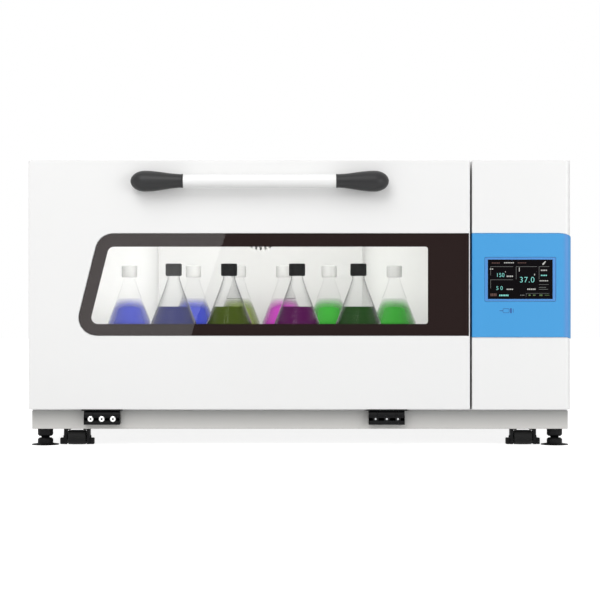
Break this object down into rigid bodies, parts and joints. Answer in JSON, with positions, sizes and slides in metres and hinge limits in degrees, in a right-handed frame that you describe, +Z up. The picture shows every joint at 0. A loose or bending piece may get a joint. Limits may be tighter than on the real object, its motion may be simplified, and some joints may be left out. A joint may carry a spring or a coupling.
{
  "type": "shaking incubator",
  "caption": "Heated cabinet with a glazed drop-down door over an orbital shaking platform that holds culture flasks, with a control column at one side.",
  "frame": {"origin": "on the floor under the middle of the closed machine's box", "axes": "+X to the right and +Z up as seen from the front, which faces -Y"},
  "size_m": [1.33, 0.82, 0.7],
  "materials": {
    "white_enamel": "smooth white enamel",
    "grey_enamel": "satin grey enamel",
    "blue_plastic": "smooth blue",
    "black_plastic": "fine grain black",
    "black_enamel": "black enamel",
    "white_bar": "glossy white",
    "stainless": "brushed",
    "aluminium": "satin",
    "cast_iron": "painted casting",
    "rubber": "matt",
    "clear_glass": "clear",
    "foam": "insulating foam",
    "screen": "glossy dark screen",
    "board": "circuit board",
    "lamp": "white diffuser",
    "mat_grey": "tacky grey",
    "blue_culture": "clear flask with blue liquid",
    "olive_culture": "clear flask with olive liquid",
    "purple_culture": "clear flask with purple liquid",
    "green_culture": "clear flask with green liquid",
    "magenta_culture": "clear flask with magenta liquid"
  },
  "bodies": {
    "cabinet": {"base_frame": "grey_enamel", "left_side_panel": "white_enamel", "right_side_panel": "white_enamel", "top_cover": "white_enamel", "rear_panel": "white_enamel", "front_frame": "white_enamel", "chamber_liner": "stainless", "insulation_jacket": "foam", "column_upper_cover": "white_enamel", "control_fascia": "blue_plastic", "column_lower_cover": "white_enamel", "touch_screen": "screen", "controller_board": "board", "power_inlet": "black_plastic", "air_duct_cover": "stainless", "fan_motor": "cast_iron", "heater_coil": "stainless", "interior_lamp": "lamp", "hinge_block_left": "black_enamel", "hinge_block_right": "black_enamel", "drive_base": "cast_iron", "drive_motor": "aluminium", "drive_belt": "rubber"},
    "door": {"door_outer_skin": "white_enamel", "door_inner_panel": "white_enamel", "window_outer_glass": "clear_glass", "window_inner_glass": "clear_glass", "door_gasket": "rubber", "handle_bar": "white_bar", "handle_end_left": "black_plastic", "handle_end_right": "black_plastic", "hinge_leaf_left": "black_enamel", "hinge_leaf_right": "black_enamel"},
    "platform": {"platform_carrier": "aluminium", "platform_tray": "aluminium", "platform_mat": "mat_grey", "flask_front_1": "blue_culture", "flask_front_2": "olive_culture", "flask_front_3": "purple_culture", "flask_front_4": "green_culture", "flask_back_1": "blue_culture", "flask_back_2": "blue_culture", "flask_back_3": "olive_culture", "flask_back_4": "magenta_culture", "flask_back_5": "green_culture", "flask_back_6": "green_culture"},
    "crank": {"crank_pulley": "cast_iron"},
    "motor_rotor": {"motor_pulley": "aluminium"},
    "idler_front": {"idler_crank_front": "cast_iron"},
    "idler_rear": {"idler_crank_rear": "cast_iron"},
    "fan": {"fan_impeller": "aluminium"},
    "rocker": {"power_rocker": "black_plastic"},
    "wheel_front_left": {"caster_wheel_front_left": "rubber"},
    "foot_front_left": {"levelling_foot_front_left": "black_enamel"},
    "wheel_front_right": {"caster_wheel_front_right": "rubber"},
    "foot_front_right": {"levelling_foot_front_right": "black_enamel"},
    "wheel_rear_left": {"caster_wheel_rear_left": "rubber"},
    "foot_rear_left": {"levelling_foot_rear_left": "black_enamel"},
    "wheel_rear_right": {"caster_wheel_rear_right": "rubber"},
    "foot_rear_right": {"levelling_foot_rear_right": "black_enamel"}
  },
  "joints": [
    {"name": "door_fold", "type": "hinge", "parent": "cabinet", "child": "door", "pos_m": [0, -0.343, 0.0759], "axis": [1, 0, 0], "range_deg": [0, 90]},
    {"name": "crank_spin", "type": "hinge", "parent": "cabinet", "child": "crank", "pos_m": [-0.11, 0.01, 0.1666], "axis": [0, 0, 1], "continuous": true},
    {"name": "platform_orbit", "type": "hinge", "parent": "crank", "child": "platform", "pos_m": [-0.0975, 0.01, 0.2066], "axis": [0, 0, 1], "continuous": true},
    {"name": "idler_front_spin", "type": "hinge", "parent": "cabinet", "child": "idler_front", "pos_m": [-0.37, -0.11, 0.2066], "axis": [0, 0, 1], "continuous": true},
    {"name": "idler_rear_spin", "type": "hinge", "parent": "cabinet", "child": "idler_rear", "pos_m": [0.15, 0.13, 0.2066], "axis": [0, 0, 1], "continuous": true},
    {"name": "motor_spin", "type": "hinge", "parent": "cabinet", "child": "motor_rotor", "pos_m": [0.09, 0.01, 0.1718], "axis": [0, 0, 1], "continuous": true},
    {"name": "fan_spin", "type": "hinge", "parent": "cabinet", "child": "fan", "pos_m": [-0.11, 0.33, 0.56], "axis": [0, 1, 0], "continuous": true},
    {"name": "rocker_tilt", "type": "hinge", "parent": "cabinet", "child": "rocker", "pos_m": [0.527, 0.3995, 0.2344], "axis": [1, 0, 0], "range_deg": [-8, 8]},
    {"name": "wheel_front_left_roll", "type": "hinge", "parent": "cabinet", "child": "wheel_front_left", "pos_m": [-0.551, -0.307, 0.0184], "axis": [1, 0, 0], "continuous": true},
    {"name": "wheel_front_right_roll", "type": "hinge", "parent": "cabinet", "child": "wheel_front_right", "pos_m": [0.551, -0.307, 0.0184], "axis": [1, 0, 0], "continuous": true},
    {"name": "wheel_rear_left_roll", "type": "hinge", "parent": "cabinet", "child": "wheel_rear_left", "pos_m": [-0.551, 0.368, 0.0184], "axis": [1, 0, 0], "continuous": true},
    {"name": "wheel_rear_right_roll", "type": "hinge", "parent": "cabinet", "child": "wheel_rear_right", "pos_m": [0.551, 0.368, 0.0184], "axis": [1, 0, 0], "continuous": true},
    {"name": "foot_front_left_screw", "type": "slide", "parent": "cabinet", "child": "foot_front_left", "axis": [0, 0, -1], "range_m": [0, 0.012]},
    {"name": "foot_front_right_screw", "type": "slide", "parent": "cabinet", "child": "foot_front_right", "axis": [0, 0, -1], "range_m": [0, 0.012]},
    {"name": "foot_rear_left_screw", "type": "slide", "parent": "cabinet", "child": "foot_rear_left", "axis": [0, 0, -1], "range_m": [0, 0.012]},
    {"name": "foot_rear_right_screw", "type": "slide", "parent": "cabinet", "child": "foot_rear_right", "axis": [0, 0, -1], "range_m": [0, 0.012]}
  ],
  "couplings": [
    {"joint": "platform_orbit", "follows": "crank_spin", "ratio": -1},
    {"joint": "idler_front_spin", "follows": "crank_spin", "ratio": 1},
    {"joint": "idler_rear_spin", "follows": "crank_spin", "ratio": 1},
    {"joint": "motor_spin", "follows": "crank_spin", "ratio": 3}
  ]
}
